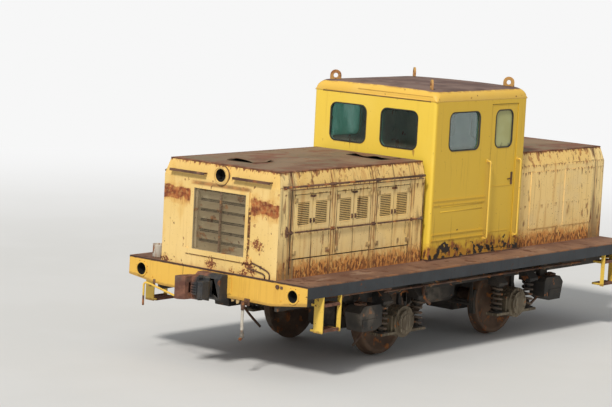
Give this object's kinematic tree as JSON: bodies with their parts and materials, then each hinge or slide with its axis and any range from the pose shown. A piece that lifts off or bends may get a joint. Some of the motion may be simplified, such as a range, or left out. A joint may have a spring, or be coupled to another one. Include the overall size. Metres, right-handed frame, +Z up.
{
  "type": "two-axle diesel shunting locomotive",
  "caption": "Derelict diesel shunting locomotive with a louvred front hood, tall square cab, short rear hood, end beams with couplers and outside-framed axles.",
  "frame": {"origin": "middle of the outline, on the plane of the wheel flange tips", "axes": "+X forward to the front coupler, +Y to the locomotive's left, +Z up"},
  "size_m": [8.82, 3.1, 3.7631],
  "materials": {
    "wheel_steel": "rusty, dark",
    "axlebox_iron": "rusty casting",
    "spring_steel": "dark, dusty",
    "frame_dark": "dark, dirty",
    "rusty_deck": "rusted chequer plate",
    "sill_blue_grey": "faded blue grey",
    "beam_yellow": "warm yellow, worn",
    "coupler_iron": "rusty casting",
    "step_yellow": "yellow, chipped",
    "hood_cream": "faded cream yellow, rust streaks",
    "rusty_roof": "rusted sheet",
    "grille_grey": "dusty slats",
    "rusty_rail": "rusted bar",
    "pot_white": "chipped white enamel",
    "engine_grey": "oily grey",
    "cab_yellow": "warm yellow, worn",
    "window_glass": "dusty clear",
    "cab_floor_wood": "worn boards",
    "desk_grey": "teal grey, worn",
    "seat_vinyl": "worn vinyl",
    "hose_rubber": "dusty pale rubber"
  },
  "bodies": {
    "chassis": {"axleboxes": "axlebox_iron", "axle_springs": "spring_steel", "frame_plates": "frame_dark", "frame_transoms": "frame_dark", "horn_legs": "frame_dark", "spring_gussets": "frame_dark", "deck_plate": "rusty_deck", "side_sills": "sill_blue_grey", "front_beam": "beam_yellow", "rear_beam": "beam_yellow", "coupler_pockets": "coupler_iron", "front_coupler": "coupler_iron", "rear_coupler": "coupler_iron", "uncoupling_levers": "step_yellow", "corner_steps": "step_yellow", "hood_nose": "hood_cream", "hood_sides": "hood_cream", "hood_roofs": "rusty_roof", "nose_grille": "grille_grey", "headlight_rings": "hood_cream", "handrails": "rusty_rail", "nose_conduits": "rusty_rail", "deck_pot": "pot_white", "engine_block": "engine_grey", "rear_hood": "hood_cream", "cab_front_wall": "cab_yellow", "cab_rear_wall": "cab_yellow", "cab_left_wall": "cab_yellow", "cab_right_wall": "cab_yellow", "cab_glass": "window_glass", "cab_floor": "cab_floor_wood", "cab_roof": "cab_yellow", "lifting_eyes": "step_yellow", "control_desk": "desk_grey", "seat_frames": "frame_dark", "seat_pads": "seat_vinyl", "axle_gearboxes": "frame_dark", "brake_rigging": "frame_dark", "underframe_tanks": "frame_dark", "sand_boxes": "sill_blue_grey", "front_brake_hose": "hose_rubber", "rear_brake_hose": "hose_rubber", "hose_cocks": "coupler_iron", "hose_heads": "coupler_iron"},
    "front_wheelset": {"wheelset_front": "wheel_steel"},
    "rear_wheelset": {"wheelset_rear": "wheel_steel"},
    "left_cab_door": {"cab_door_left": "cab_yellow"},
    "right_cab_door": {"cab_door_right": "cab_yellow"},
    "left_hood_door_1": {"hood_door_left_1": "hood_cream"},
    "left_hood_door_2": {"hood_door_left_2": "hood_cream"},
    "left_hood_door_3": {"hood_door_left_3": "hood_cream"},
    "left_hood_door_4": {"hood_door_left_4": "hood_cream"},
    "left_hood_door_5": {"hood_door_left_5": "hood_cream"},
    "left_hood_door_6": {"hood_door_left_6": "hood_cream"},
    "right_hood_door_1": {"hood_door_right_1": "hood_cream"},
    "right_hood_door_2": {"hood_door_right_2": "hood_cream"},
    "right_hood_door_3": {"hood_door_right_3": "hood_cream"},
    "right_hood_door_4": {"hood_door_right_4": "hood_cream"},
    "right_hood_door_5": {"hood_door_right_5": "hood_cream"},
    "right_hood_door_6": {"hood_door_right_6": "hood_cream"}
  },
  "joints": [
    {"name": "front_axle_spin", "type": "hinge", "parent": "chassis", "child": "front_wheelset", "pos_m": [1.35, 0, 0.528], "axis": [0, 1, 0], "continuous": true},
    {"name": "rear_axle_spin", "type": "hinge", "parent": "chassis", "child": "rear_wheelset", "pos_m": [-1.35, 0, 0.528], "axis": [0, 1, 0], "continuous": true},
    {"name": "left_cab_door_swing", "type": "hinge", "parent": "chassis", "child": "left_cab_door", "pos_m": [-0.658, 1.022, 2.378], "axis": [0, 0, 1], "range_deg": [0, 90]},
    {"name": "right_cab_door_swing", "type": "hinge", "parent": "chassis", "child": "right_cab_door", "pos_m": [-0.658, -1.022, 2.378], "axis": [0, 0, -1], "range_deg": [0, 90]},
    {"name": "left_hood_door_1_swing", "type": "hinge", "parent": "chassis", "child": "left_hood_door_1", "pos_m": [3.512, 1.009, 1.953], "axis": [0, 0, -1], "range_deg": [0, 90]},
    {"name": "left_hood_door_2_swing", "type": "hinge", "parent": "chassis", "child": "left_hood_door_2", "pos_m": [2.798, 1.009, 1.953], "axis": [0, 0, 1], "range_deg": [0, 90]},
    {"name": "left_hood_door_3_swing", "type": "hinge", "parent": "chassis", "child": "left_hood_door_3", "pos_m": [2.65, 1.009, 1.953], "axis": [0, 0, -1], "range_deg": [0, 90]},
    {"name": "left_hood_door_4_swing", "type": "hinge", "parent": "chassis", "child": "left_hood_door_4", "pos_m": [1.936, 1.009, 1.953], "axis": [0, 0, 1], "range_deg": [0, 90]},
    {"name": "left_hood_door_5_swing", "type": "hinge", "parent": "chassis", "child": "left_hood_door_5", "pos_m": [1.788, 1.009, 1.953], "axis": [0, 0, -1], "range_deg": [0, 90]},
    {"name": "left_hood_door_6_swing", "type": "hinge", "parent": "chassis", "child": "left_hood_door_6", "pos_m": [1.074, 1.009, 1.953], "axis": [0, 0, 1], "range_deg": [0, 90]},
    {"name": "right_hood_door_1_swing", "type": "hinge", "parent": "chassis", "child": "right_hood_door_1", "pos_m": [3.512, -1.009, 1.953], "axis": [0, 0, 1], "range_deg": [0, 90]},
    {"name": "right_hood_door_2_swing", "type": "hinge", "parent": "chassis", "child": "right_hood_door_2", "pos_m": [2.798, -1.009, 1.953], "axis": [0, 0, -1], "range_deg": [0, 90]},
    {"name": "right_hood_door_3_swing", "type": "hinge", "parent": "chassis", "child": "right_hood_door_3", "pos_m": [2.65, -1.009, 1.953], "axis": [0, 0, 1], "range_deg": [0, 90]},
    {"name": "right_hood_door_4_swing", "type": "hinge", "parent": "chassis", "child": "right_hood_door_4", "pos_m": [1.936, -1.009, 1.953], "axis": [0, 0, -1], "range_deg": [0, 90]},
    {"name": "right_hood_door_5_swing", "type": "hinge", "parent": "chassis", "child": "right_hood_door_5", "pos_m": [1.788, -1.009, 1.953], "axis": [0, 0, 1], "range_deg": [0, 90]},
    {"name": "right_hood_door_6_swing", "type": "hinge", "parent": "chassis", "child": "right_hood_door_6", "pos_m": [1.074, -1.009, 1.953], "axis": [0, 0, -1], "range_deg": [0, 90]}
  ]
}
